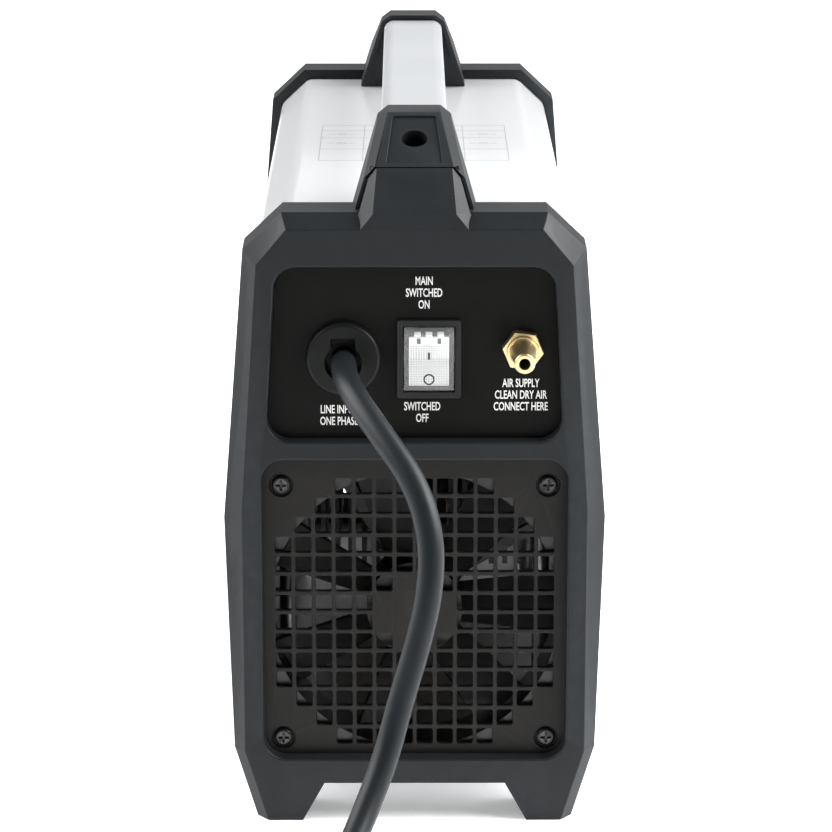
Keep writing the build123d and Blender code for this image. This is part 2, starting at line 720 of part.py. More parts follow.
def make_sockets():
    plate_y = y_grille
    with BuildPart() as socket_panel:
        with BuildSketch(across(plate_y)):
            rounded(lower_window_half, window_corner, window_lap)
            with Locations((torch_x, socket_z), (work_x, socket_z)):
                Circle(13.2, mode=Mode.SUBTRACT)
            with Locations((0, 52)):
                with GridLocations(0, 7, 1, 6):
                    SlotOverall(34, 3.2, mode=Mode.SUBTRACT)
                with Locations((-38, 0), (38, 0)):
                    with GridLocations(0, 7, 1, 6):
                        SlotOverall(30, 3.2, mode=Mode.SUBTRACT)
            with Locations((0, grille_z)):
                with GridLocations(screw_square, screw_square, 2, 2):
                    Circle(2.2, mode=Mode.SUBTRACT)
        extrude(amount=-3)
        for x in (-1, 1):
            for z in (-1, 1):
                disc(x * screw_square / 2, grille_z + z * screw_square / 2, plate_y + 3, plate_y + 12, 4.5)
                disc(x * screw_square / 2, grille_z + z * screw_square / 2, plate_y + 2, plate_y + 13, 1.9,
                     Mode.SUBTRACT)
    twin(socket_panel, "socket_panel")

    with BuildPart() as panel_screws:
        with Locations(across(plate_y)):
            with Locations((0, grille_z)):
                with GridLocations(screw_square, screw_square, 2, 2):
                    Cylinder(3.6, 2.0, align=(Align.CENTER, Align.CENTER, Align.MIN))
                    Cylinder(1.8, 11, align=(Align.CENTER, Align.CENTER, Align.MAX))
        fillet(panel_screws.faces().group_by(Axis.Y)[0].edges(), radius=0.9)
        with BuildSketch(across(plate_y - 2)):
            with Locations((0, grille_z)):
                with GridLocations(screw_square, screw_square, 2, 2):
                    Rectangle(4.2, 0.9)
                    Rectangle(0.9, 4.2)
        extrude(amount=-1.2, mode=Mode.SUBTRACT)
    twin(panel_screws, "socket_panel_screws")

    tip_y = y_rear - reach
    with BuildPart() as torch_collar:
        disc(torch_x, socket_z, plate_y - 4, plate_y, 19.0)
        fillet(torch_collar.edges().group_by(Axis.Y)[0], radius=1.2)
        disc(torch_x, socket_z, plate_y - 12, plate_y - 4, 15.5)
        disc(torch_x, socket_z, plate_y, plate_y + 10, 13.0)
        disc(torch_x, socket_z, plate_y - 13, plate_y + 11, 11.2, Mode.SUBTRACT)
    twin(torch_collar, "torch_socket_collar")

    with BuildPart() as torch_socket:
        disc(torch_x, socket_z, tip_y, plate_y + 12, 11.0)
        chamfer(torch_socket.edges().group_by(Axis.Y)[0], length=0.8)
        disc(torch_x, socket_z + 5, plate_y + 12, plate_y + 26, 3.2)
        disc(torch_x, socket_z, tip_y - 1, tip_y + 22, 6.5, Mode.SUBTRACT)
    twin(torch_socket, "torch_socket")

    with BuildPart() as work_collar:
        disc(work_x, socket_z, plate_y - 4, plate_y, 19.0)
        fillet(work_collar.edges().group_by(Axis.Y)[0], radius=1.2)
        disc(work_x, socket_z, plate_y - 12, plate_y - 4, 15.5)
        disc(work_x, socket_z, plate_y, plate_y + 10, 13.0)
        disc(work_x, socket_z, plate_y - 13, plate_y + 11, 9.2, Mode.SUBTRACT)
    twin(work_collar, "work_socket_collar")

    with BuildPart() as work_socket:
        disc(work_x, socket_z, plate_y - 10, plate_y + 22, 9.0)
        disc(work_x, socket_z, plate_y - 11, plate_y + 12, 4.6, Mode.SUBTRACT)
    twin(work_socket, "work_socket")


# ---------------------------------------------------------------- power electronics
board_z = 142.0


def make_electronics():
    with BuildPart() as power_board:
        block((-56, -128, board_z), (56, 104, board_z + 1.6))
    save(power_board, "power_board")

    with BuildPart() as standoffs:
        with Locations((0, -12, floor_z + sheet)):
            with GridLocations(104, 210, 2, 2):
                Cylinder(3.5, board_z - floor_z - sheet, align=(Align.CENTER, Align.CENTER, Align.MIN))
    save(standoffs, "board_standoffs")

    for side, name in ((-1, "left_heatsink"), (1, "right_heatsink")):
        with BuildPart() as heatsink:
            inner, outer = sorted((side * 14, side * 44))
            block((inner, -112, board_z - 8), (outer, -14, board_z))
            fin_count = 6
            for fin in range(fin_count):
                x = inner + 1 + fin * (outer - inner - 2) / (fin_count - 1)
                block((x - 1, -112, board_z - 56), (x + 1, -14, board_z - 7))
        save(heatsink, name)

    with BuildPart() as transformer_core:
        block((-30, 6, board_z - 62), (30, 46, board_z - 4))
        block((-18, 5, board_z - 50), (-9, 47, board_z - 16), Mode.SUBTRACT)
        block((9, 5, board_z - 50), (18, 47, board_z - 16), Mode.SUBTRACT)
    save(transformer_core, "transformer_core")

    with BuildPart() as winding:
        block((-17.8, -2, board_z - 49.8), (17.8, 54, board_z - 16.2))
        fillet(winding.edges().filter_by(Axis.Z), radius=6)
        block((-9.2, 5.8, board_z - 50), (9.2, 46.2, board_z - 16), Mode.SUBTRACT)
    save(winding, "transformer_winding")

    with BuildPart() as inductor:
        with Locations((0, 84, board_z - 30)):
            Cylinder(24, 22)
            Cylinder(10, 24, mode=Mode.SUBTRACT)
        fillet(inductor.edges(), radius=4)
    save(inductor, "output_inductor")

    with BuildPart() as capacitors:
        with Locations((-12, -62, board_z + 1.6)):
            with GridLocations(34, 36, 2, 2):
                Cylinder(15, 42, align=(Align.CENTER, Align.CENTER, Align.MIN))
    save(capacitors, "capacitors")


# ---------------------------------------------------------------- mains lead
cord_start_y = y_panel + 3
cord_route = [
    (-27.6, cord_start_y, cord_exit_z),
    (-27.6, -194.0, cord_exit_z),
    (-22.5, -215.5, 184.0),
    (-12.0, -233.0, 173.5),
    (0.4, -246.5, 159.0),
    (6.3, -254.5, 140.5),
    (5.5, -259.5, 120.0),
    (0.6, -261.5, 99.5),
    (-5.5, -262.5, 79.0),
    (-10.6, -266.5, 59.5),
    (-18.2, -277.5, 42.0),
    (-26.2, -294.0, 28.0),
    (-34.0, -313.0, 16.5),
    (-41.5, -333.0, 8.3),
    (-47.0, -348.0, 5.2),
    (-52.5, -362.0, 5.2),
]
lead_in = 40.0              # straight stretch between the coil and the cord beside it
coil_leave = radians(330)   # where the last turn leaves the coil


def bend_radii(route):
    """Largest arc that each corner's runs have room for."""
    radii = []
    for before, corner, after in zip(route, route[1:], route[2:]):
        into, out = Vector(*corner) - Vector(*before), Vector(*after) - Vector(*corner)
        turn = radians(into.get_angle(out))
        radii.append(0.45 * min(into.length, out.length) / tan(turn / 2))
    return radii


def coil_centre():
    """The cord runs straight into the outer turn, with the coil on its left."""
    end, before = Vector(*cord_route[-1]), Vector(*cord_route[-2])
    along = Vector(end.X - before.X, end.Y - before.Y, 0).normalized()
    left = Vector(-along.Y, along.X, 0)
    return end + along * lead_in + left * coil_radii[1], along


def make_cord():
    radii = bend_radii(cord_route)
    print("cord bend radii", [round(r) for r in radii])
    with BuildPart() as cord:
        with BuildLine() as path:
            FilletPolyline(*cord_route, radius=radii)
        with BuildSketch(Plane(origin=path.line @ 0, z_dir=path.line % 0)):
            Circle(cord_radius)
        sweep()
    print("cord tube", round(path.wires()[0].length), "mm, volume ratio",
          round(cord.part.volume / (pi * cord_radius ** 2 * path.wires()[0].length), 4))
    save(cord, "mains_cord")

    centre, along = coil_centre()
    low = cord_route[-1][2]
    high = low + 2.04 * cord_radius
    inner, outer = coil_radii[0] - cord_radius - 0.2, coil_radii[1] + cord_radius + 0.2
    leave = Vector(cos(coil_leave), sin(coil_leave), 0)
    onward = Vector(-sin(coil_leave), cos(coil_leave), 0)
    cord_in = Plane(origin=Vector(*cord_route[-1]), z_dir=along)
    cord_out_from = Vector(centre.X, centre.Y, high) + leave * coil_radii[1]
    with BuildPart() as coil:
        with BuildSketch(Plane(origin=(centre.X, centre.Y, (low + high) / 2), x_dir=(1, 0, 0), z_dir=(0, -1, 0))):
            with Locations(((inner + outer) / 2, 0)):
                RectangleRounded(outer - inner, high - low + 2 * cord_radius - 0.4, 4.3)
        revolve(axis=Axis((centre.X, centre.Y, 0), (0, 0, 1)))
        with BuildSketch(cord_in):
            Circle(cord_radius)
        extrude(amount=lead_in + 4)
        with BuildSketch(Plane(origin=cord_out_from - onward * 4, z_dir=onward)):
            Circle(cord_radius)
        extrude(amount=lead_in + 4)
    save(coil, "mains_cord_coil")

    plug_from = cord_out_from + onward * lead_in
    relief_length = 24.0        # tapered sleeve where the cord enters the plug
    plug = Plane(origin=plug_from, x_dir=-leave, z_dir=onward)
    with BuildPart() as plug_body:
        with BuildSketch(plug):
            Circle(6.5)
        with BuildSketch(plug.offset(relief_length)):
            Circle(9.5)
        loft()
        with BuildSketch(plug.offset(relief_length)):
            RectangleRounded(22, 21, 8)
        with BuildSketch(plug.offset(relief_length + 14)):
            RectangleRounded(33, 30, 9)
        loft()
        with BuildSketch(plug.offset(relief_length + 14)):
            RectangleRounded(33, 30, 9)
        extrude(amount=20)
    save(plug_body, "mains_plug")

    face = plug.offset(relief_length + 34)
    with BuildPart() as blades:
        with BuildSketch(face):
            with Locations((0, 3)):
                with GridLocations(12.7, 0.01, 2, 1):
                    Rectangle(1.5, 6.35)
        extrude(amount=17)
        with BuildSketch(face):
            with Locations((0, -8.9)):
                Circle(2.4)
        extrude(amount=19)
    save(blades, "plug_blades")


make_fascias()
make_handle()
make_cover()
make_rear_panel()
make_fan()
make_switch()
make_gland()
make_gas_inlet()
make_front_panel()
make_knob()
make_button()
make_sockets()
make_electronics()
make_cord()
print(len(saved_names), "pieces")
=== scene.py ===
import json
from math import cos, radians, sin

import bmesh
import bpy
from mathutils import Matrix, Vector

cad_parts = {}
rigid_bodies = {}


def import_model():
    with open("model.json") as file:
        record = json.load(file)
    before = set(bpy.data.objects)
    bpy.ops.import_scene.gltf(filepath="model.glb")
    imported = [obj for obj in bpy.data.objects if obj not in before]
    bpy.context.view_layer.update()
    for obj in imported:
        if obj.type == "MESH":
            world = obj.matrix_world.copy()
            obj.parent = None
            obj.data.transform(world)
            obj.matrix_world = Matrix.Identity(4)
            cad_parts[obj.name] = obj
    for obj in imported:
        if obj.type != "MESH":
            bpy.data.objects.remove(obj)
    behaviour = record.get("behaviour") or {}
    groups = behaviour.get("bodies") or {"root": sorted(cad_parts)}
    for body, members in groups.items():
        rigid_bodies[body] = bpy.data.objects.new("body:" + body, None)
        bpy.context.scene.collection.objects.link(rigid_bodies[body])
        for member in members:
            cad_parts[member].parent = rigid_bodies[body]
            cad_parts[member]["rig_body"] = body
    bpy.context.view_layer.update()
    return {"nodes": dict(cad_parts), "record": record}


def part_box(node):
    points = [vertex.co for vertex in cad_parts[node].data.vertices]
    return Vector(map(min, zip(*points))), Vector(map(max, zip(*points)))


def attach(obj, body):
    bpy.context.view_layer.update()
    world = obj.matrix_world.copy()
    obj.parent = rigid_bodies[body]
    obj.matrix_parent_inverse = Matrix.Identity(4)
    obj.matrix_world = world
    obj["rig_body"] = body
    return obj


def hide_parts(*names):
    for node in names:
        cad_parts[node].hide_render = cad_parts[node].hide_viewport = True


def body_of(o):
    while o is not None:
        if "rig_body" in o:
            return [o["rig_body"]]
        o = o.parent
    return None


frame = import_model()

print("frame loaded,", len(frame["nodes"]), "nodes")


# everyday helpers

def choose(*pieces):
    # operators act on what is selected, so only these pieces are
    bpy.ops.object.select_all(action="DESELECT")
    for piece in pieces:
        piece.select_set(True)
    bpy.context.view_layer.objects.active = pieces[-1]


def applyPlace(piece):
    choose(piece)
    bpy.ops.object.transform_apply(location=True, rotation=True, scale=True)


def modify(piece, kind, **settings):
    choose(piece)
    modifier = piece.modifiers.new(kind.lower(), kind)
    for name, value in settings.items():
        setattr(modifier, name, value)
    bpy.ops.object.modifier_apply(modifier=modifier.name)


def smooth(piece):
    choose(piece)
    bpy.ops.object.shade_smooth_by_angle(angle=radians(32))


def finishPiece(piece, name, material, body="case"):
    piece.name = name
    piece.data.name = name
    piece.data.materials.clear()
    piece.data.materials.append(material)
    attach(piece, body)
    return piece


def joined(pieces, name, material, body="case"):
    choose(*pieces)
    if len(pieces) > 1:
        bpy.ops.object.join()
    return finishPiece(bpy.context.object, name, material, body)


# camera

viewpoint = {"place": (-0.0032, -1.5224, 0.5271), "tilt": 75.0, "turn": -0.16, "lens": 154.57,
             "sensor": 36}


def addCamera():
    bpy.ops.object.select_all(action="DESELECT")
    bpy.ops.object.camera_add(
        location=viewpoint["place"],
        rotation=(radians(viewpoint["tilt"]), 0, radians(viewpoint["turn"])))
    camera = bpy.context.object
    camera.name = "camera"
    camera.data.sensor_width = viewpoint["sensor"]
    camera.data.lens = viewpoint["lens"]
    bpy.context.scene.camera = camera


addCamera()
print("camera in place")


# shared shader groups

def shaderGroup(name, inputs, outputs):
    group = bpy.data.node_groups.new(name, "ShaderNodeTree")
    for label, kind, value in inputs:
        socket = group.interface.new_socket(label, in_out="INPUT", socket_type=kind)
        socket.default_value = value
    for label, kind in outputs:
        group.interface.new_socket(label, in_out="OUTPUT", socket_type=kind)
    entry = group.nodes.new("NodeGroupInput")
    leaving = group.nodes.new("NodeGroupOutput")
    return group, entry, leaving


def addNode(tree, kind, settings=None, **inputs):
    # settings are the node's own, inputs its sockets by name, or by place as i0, i1 and so on
    node = tree.nodes.new(kind)
    for name, value in (settings or {}).items():
        setattr(node, name, value)
    for name, value in inputs.items():
        socket = node.inputs[int(name[1:])] if name[0] == "i" and name[1:].isdigit() else node.inputs[name]
        if isinstance(value, bpy.types.NodeSocket):
            tree.links.new(value, socket)
        else:
            socket.default_value = value
    return node


def objectCoords(tree):
    return tree.nodes.new("ShaderNodeTexCoord").outputs["Object"]


def buildGrainGroup():
    # fine pebbled moulding grain with slow changes of tone and gloss
    group, entry, leaving = shaderGroup(
        "mouldedGrain",
        [("Colour", "NodeSocketColor", (0.02, 0.02, 0.02, 1)), ("Grain Scale", "NodeSocketFloat", 1400.0),
         ("Tone Spread", "NodeSocketFloat", 0.08), ("Roughness", "NodeSocketFloat", 0.5),
         ("Gloss Spread", "NodeSocketFloat", 0.08)],
        [("Colour", "NodeSocketColor"), ("Roughness", "NodeSocketFloat"), ("Height", "NodeSocketFloat")])
    place = objectCoords(group)
    pebble = addNode(group, "ShaderNodeTexVoronoi", {"feature": "SMOOTH_F1"},
                     Vector=place, Scale=entry.outputs["Grain Scale"], Smoothness=0.6)
    fine = addNode(group, "ShaderNodeTexNoise", Vector=place, Scale=entry.outputs["Grain Scale"],
                   Detail=2.0, Roughness=0.6)
    height = addNode(group, "ShaderNodeMath", {"operation": "MULTIPLY_ADD"},
                     i0=pebble.outputs["Distance"], i1=0.7, i2=fine.outputs["Fac"])
    slow = addNode(group, "ShaderNodeTexNoise", Vector=place, Scale=28.0, Detail=4.0, Roughness=0.55)
    centred = addNode(group, "ShaderNodeMath", {"operation": "SUBTRACT"}, i0=slow.outputs["Fac"], i1=0.5)
    tone = addNode(group, "ShaderNodeMath", {"operation": "MULTIPLY_ADD"},
                   i0=centred.outputs[0], i1=entry.outputs["Tone Spread"], i2=1.0)
    colour = addNode(group, "ShaderNodeVectorMath", {"operation": "SCALE"},
                     i0=entry.outputs["Colour"], Scale=tone.outputs[0])
    gloss = addNode(group, "ShaderNodeMath", {"operation": "MULTIPLY_ADD"},
                    i0=centred.outputs[0], i1=entry.outputs["Gloss Spread"], i2=entry.outputs["Roughness"])
    group.links.new(colour.outputs[0], leaving.inputs["Colour"])
    group.links.new(gloss.outputs[0], leaving.inputs["Roughness"])
    group.links.new(height.outputs[0], leaving.inputs["Height"])
    return group


def buildWearAndHighlightGroup():
    # rubbed edges and painted highlight: a paler tone where the surface turns sharply, broken up by noise;
    # partly edge wear, partly a painted highlight along the edges
    group, entry, leaving = shaderGroup(
        "rubbedEdgesAndHighlights",
        [("Colour", "NodeSocketColor", (0.02, 0.02, 0.02, 1)),
         ("Worn Colour", "NodeSocketColor", (0.1, 0.1, 0.1, 1)), ("Amount", "NodeSocketFloat", 0.4)],
        [("Colour", "NodeSocketColor")])
    shape = group.nodes.new("ShaderNodeNewGeometry")
    edge = addNode(group, "ShaderNodeMapRange", {"clamp": True},
                   Value=shape.outputs["Pointiness"], i1=0.52, i2=0.60, i3=0.0, i4=1.0)
    breakUp = addNode(group, "ShaderNodeTexNoise", Vector=objectCoords(group), Scale=160.0, Detail=3.0)
    broken = addNode(group, "ShaderNodeMath", {"operation": "MULTIPLY"},
                     i0=edge.outputs[0], i1=breakUp.outputs["Fac"])
    mask = addNode(group, "ShaderNodeMath", {"operation": "MULTIPLY", "use_clamp": True},
                   i0=broken.outputs[0], i1=entry.outputs["Amount"])
    # the paler edge colour is partly wear and partly painted highlight
    mixed = addNode(group, "ShaderNodeMix", {"data_type": "RGBA"},
                    Factor=mask.outputs[0], i6=entry.outputs["Colour"], i7=entry.outputs["Worn Colour"])
    group.links.new(mixed.outputs[2], leaving.inputs["Colour"])
    return group


def buildDustGroup():
    # a little dust on faces that look up
    group, entry, leaving = shaderGroup(
        "settledDust",
        [("Colour", "NodeSocketColor", (0.02, 0.02, 0.02, 1)),
         ("Dust Colour", "NodeSocketColor", (0.3, 0.3, 0.3, 1)), ("Amount", "NodeSocketFloat", 0.1)],
        [("Colour", "NodeSocketColor")])
    shape = group.nodes.new("ShaderNodeNewGeometry")
    parts = addNode(group, "ShaderNodeSeparateXYZ", Vector=shape.outputs["Normal"])
    upward = addNode(group, "ShaderNodeMapRange", {"clamp": True},
                     Value=parts.outputs["Z"], i1=0.15, i2=0.95, i3=0.0, i4=1.0)
    specks = addNode(group, "ShaderNodeTexNoise", Vector=objectCoords(group), Scale=420.0, Detail=4.0)
    patchy = addNode(group, "ShaderNodeMath", {"operation": "MULTIPLY"},
                     i0=upward.outputs[0], i1=specks.outputs["Fac"])
    mask = addNode(group, "ShaderNodeMath", {"operation": "MULTIPLY", "use_clamp": True},
                   i0=patchy.outputs[0], i1=entry.outputs["Amount"])
    mixed = addNode(group, "ShaderNodeMix", {"data_type": "RGBA"},
                    Factor=mask.outputs[0], i6=entry.outputs["Colour"], i7=entry.outputs["Dust Colour"])
    group.links.new(mixed.outputs[2], leaving.inputs["Colour"])
    return group


def buildBrushedGroup():
    # long fine lines, as drawing or brushing leaves them
    group, entry, leaving = shaderGroup(
        "brushedLines",
        [("Colour", "NodeSocketColor", (0.5, 0.5, 0.5, 1)), ("Stretch", "NodeSocketVector", (1.0, 0.02, 1.0)),
         ("Scale", "NodeSocketFloat", 1800.0), ("Roughness", "NodeSocketFloat", 0.3),
         ("Spread", "NodeSocketFloat", 0.15)],
        [("Colour", "NodeSocketColor"), ("Roughness", "NodeSocketFloat"), ("Height", "NodeSocketFloat")])
    stretched = addNode(group, "ShaderNodeVectorMath", {"operation": "MULTIPLY"},
                        i0=objectCoords(group), i1=entry.outputs["Stretch"])
    lines = addNode(group, "ShaderNodeTexNoise", Vector=stretched.outputs[0], Scale=entry.outputs["Scale"],
                    Detail=3.0, Roughness=0.7)
    centred = addNode(group, "ShaderNodeMath", {"operation": "SUBTRACT"}, i0=lines.outputs["Fac"], i1=0.5)
    gloss = addNode(group, "ShaderNodeMath", {"operation": "MULTIPLY_ADD"},
                    i0=centred.outputs[0], i1=entry.outputs["Spread"], i2=entry.outputs["Roughness"])
    tone = addNode(group, "ShaderNodeMath", {"operation": "MULTIPLY_ADD"},
                   i0=centred.outputs[0], i1=entry.outputs["Spread"], i2=1.0)
    colour = addNode(group, "ShaderNodeVectorMath", {"operation": "SCALE"},
                     i0=entry.outputs["Colour"], Scale=tone.outputs[0])
    group.links.new(colour.outputs[0], leaving.inputs["Colour"])
    group.links.new(gloss.outputs[0], leaving.inputs["Roughness"])
    group.links.new(lines.outputs["Fac"], leaving.inputs["Height"])
    return group


grainGroup = buildGrainGroup()
wearAndHighlightGroup = buildWearAndHighlightGroup()
dustGroup = buildDustGroup()
brushedGroup = buildBrushedGroup()


# materials

def useGroup(tree, group, **inputs):
    node = tree.nodes.new("ShaderNodeGroup")
    node.node_tree = group
    for label, value in inputs.items():
        socket = node.inputs[label.replace("_", " ")]
        if isinstance(value, bpy.types.NodeSocket):
            tree.links.new(value, socket)
        else:
            socket.default_value = value
    return node


def opaque(colour):
    return (*colour, 1.0)


def newMaterial(name, **constants):
    material = bpy.data.materials.new(name)
    material.use_nodes = True
    shader = material.node_tree.nodes["Principled BSDF"]
    for label, value in constants.items():
        shader.inputs[label.replace("_", " ")].default_value = value
    return material, material.node_tree, shader


def addBump(tree, shader, height, distance):
    bump = addNode(tree, "ShaderNodeBump", Height=height, Strength=1.0, Distance=distance)
    tree.links.new(bump.outputs["Normal"], shader.inputs["Normal"])


def mouldedPlastic(name, colour, wornAndHighlit, roughness, grain=1400.0, depth=0.00004, rubAndHighlight=0.5, dust=0.05,
                   **constants):
    # grain, rubbed edges with a painted highlight along them, and a little dust over one colour
    material, tree, shader = newMaterial(name, **constants)
    grained = useGroup(tree, grainGroup, Colour=opaque(colour), Grain_Scale=grain, Tone_Spread=0.25,
                       Roughness=roughness, Gloss_Spread=0.14)
    rubbedAndHighlit = useGroup(tree, wearAndHighlightGroup, Colour=grained.outputs["Colour"], Worn_Colour=opaque(wornAndHighlit), Amount=rubAndHighlight)
    dusty = useGroup(tree, dustGroup, Colour=rubbedAndHighlit.outputs["Colour"],
                     Dust_Colour=(0.26, 0.26, 0.25, 1), Amount=dust)
    tree.links.new(dusty.outputs["Colour"], shader.inputs["Base Color"])
    tree.links.new(grained.outputs["Roughness"], shader.inputs["Roughness"])
    addBump(tree, shader, grained.outputs["Height"], depth)
    return material


def brushedMetal(name, colour, roughness, stretch=(1.0, 0.02, 1.0), scale=1800.0, spread=0.2):
    # fine lines along the piece, and paler edges that are partly wear and partly painted highlight
    material, tree, shader = newMaterial(name, Metallic=1.0)
    brushed = useGroup(tree, brushedGroup, Colour=opaque(colour), Stretch=stretch, Scale=scale,
                       Roughness=roughness, Spread=spread)
    rubbedAndHighlit = useGroup(tree, wearAndHighlightGroup, Colour=brushed.outputs["Colour"],
                      Worn_Colour=opaque([min(1.0, 1.25 * part) for part in colour]), Amount=0.5)
    tree.links.new(rubbedAndHighlit.outputs["Colour"], shader.inputs["Base Color"])
    tree.links.new(brushed.outputs["Roughness"], shader.inputs["Roughness"])
    addBump(tree, shader, brushed.outputs["Height"], 0.00001)
    return material


def coverPaint():
    # glossy pale powder coat with faint orange peel outside, and painted shade on the inner faces
    material, tree, shader = newMaterial("coverPaint", Coat_Weight=0.6, Coat_Roughness=0.05)
    peel = useGroup(tree, brushedGroup, Colour=(0.57, 0.58, 0.592, 1), Stretch=(1.0, 1.0, 1.0), Scale=380.0,
                    Roughness=0.28, Spread=0.02)
    # inside, where the normal points back at the middle of the case, the sheet is painted near black: painted
    # shade for the dark inside of the case
    fromMiddle = addNode(tree, "ShaderNodeVectorMath", {"operation": "SUBTRACT"},
                         i0=objectCoords(tree), i1=(0.0, 0.0, 0.13))
    facing = addNode(tree, "ShaderNodeVectorMath", {"operation": "DOT_PRODUCT"},
                     i0=fromMiddle.outputs[0], i1=tree.nodes.new("ShaderNodeNewGeometry").outputs["Normal"])
    inside = addNode(tree, "ShaderNodeMath", {"operation": "LESS_THAN"}, i0=facing.outputs["Value"], i1=-0.04)
    paintedInsideShade = addNode(tree, "ShaderNodeMix", {"data_type": "RGBA"}, Factor=inside.outputs[0],
                     i6=peel.outputs["Colour"], i7=(0.035, 0.036, 0.038, 1))
    tree.links.new(paintedInsideShade.outputs[2], shader.inputs["Base Color"])
    tree.links.new(peel.outputs["Roughness"], shader.inputs["Roughness"])
    addBump(tree, shader, peel.outputs["Height"], 0.000004)
    return material


def gripSilver():
    # satin silver paint on the tube, with small dark specks
    material, tree, shader = newMaterial("gripSilver", Metallic=0.35, Coat_Weight=0.1, Coat_Roughness=0.3)
    base = useGroup(tree, grainGroup, Colour=(0.42, 0.432, 0.445, 1), Grain_Scale=2200.0, Tone_Spread=0.1,
                    Roughness=0.36, Gloss_Spread=0.15)
    specks = addNode(tree, "ShaderNodeTexNoise", Vector=objectCoords(tree), Scale=900.0, Detail=2.0)
    dark = addNode(tree, "ShaderNodeMapRange", {"clamp": True}, Value=specks.outputs["Fac"],
                   i1=0.60, i2=0.72, i3=0.0, i4=0.45)
    mixed = addNode(tree, "ShaderNodeMix", {"data_type": "RGBA"}, Factor=dark.outputs[0],
                    i6=base.outputs["Colour"], i7=(0.30, 0.31, 0.33, 1))
    tree.links.new(mixed.outputs[2], shader.inputs["Base Color"])
    tree.links.new(base.outputs["Roughness"], shader.inputs["Roughness"])
    addBump(tree, shader, base.outputs["Height"], 0.00002)
    return material


def clearPlastic():
    # thin and clear, so that light reaches the white core under it
    material, tree, shader = newMaterial("rockerClear", Alpha=0.18, IOR=1.49, Coat_Weight=0.3)
    haze = useGroup(tree, grainGroup, Colour=(0.80, 0.82, 0.83, 1), Grain_Scale=900.0, Tone_Spread=0.04,
                    Roughness=0.10, Gloss_Spread=0.05)
    tree.links.new(haze.outputs["Colour"], shader.inputs["Base Color"])
    tree.links.new(haze.outputs["Roughness"], shader.inputs["Roughness"])
    addBump(tree, shader, haze.outputs["Height"], 0.000004)
    return material


def circuitBoard():
    # green solder mask with paler tracks
    material, tree, shader = newMaterial("circuitBoard", Coat_Weight=0.3, Coat_Roughness=0.15)
    tracks = addNode(tree, "ShaderNodeTexBrick", {"offset": 0.37}, Vector=objectCoords(tree), Scale=90.0,
                     Color1=(0.012, 0.075, 0.035, 1), Color2=(0.016, 0.095, 0.045, 1),
                     Mortar=(0.05, 0.19, 0.09, 1))
    tracks.inputs["Mortar Size"].default_value = 0.03
    grained = useGroup(tree, grainGroup, Colour=tracks.outputs["Color"], Grain_Scale=900.0, Tone_Spread=0.2,
                       Roughness=0.38, Gloss_Spread=0.1)
    tree.links.new(grained.outputs["Colour"], shader.inputs["Base Color"])
    tree.links.new(grained.outputs["Roughness"], shader.inputs["Roughness"])
    addBump(tree, shader, tracks.outputs["Fac"], 0.00003)
    return material


def copperWinding():
    # lacquered wire, turn beside turn, with painted highlight on each turn and painted shade in the grooves
    # between turns
    material, tree, shader = newMaterial("copperWinding", Metallic=0.85, Coat_Weight=0.4, Coat_Roughness=0.12)
    turns = addNode(tree, "ShaderNodeTexWave", {"bands_direction": "Z"}, Vector=objectCoords(tree),
                    Scale=260.0, Distortion=0.4, Detail=1.0)
    # painted light and shade: the wave bands make each turn bright on its crown and dark in the grooves
    # between turns
    paintedTurnShading = addNode(tree, "ShaderNodeMix", {"data_type": "RGBA"}, Factor=turns.outputs["Fac"],
                   i6=(0.18, 0.06, 0.02, 1), i7=(0.62, 0.25, 0.09, 1))
    grained = useGroup(tree, grainGroup, Colour=paintedTurnShading.outputs[2], Grain_Scale=500.0, Tone_Spread=0.15,
                       Roughness=0.3, Gloss_Spread=0.1)
    tree.links.new(grained.outputs["Colour"], shader.inputs["Base Color"])
    tree.links.new(grained.outputs["Roughness"], shader.inputs["Roughness"])
    addBump(tree, shader, turns.outputs["Fac"], 0.0003)
    return material
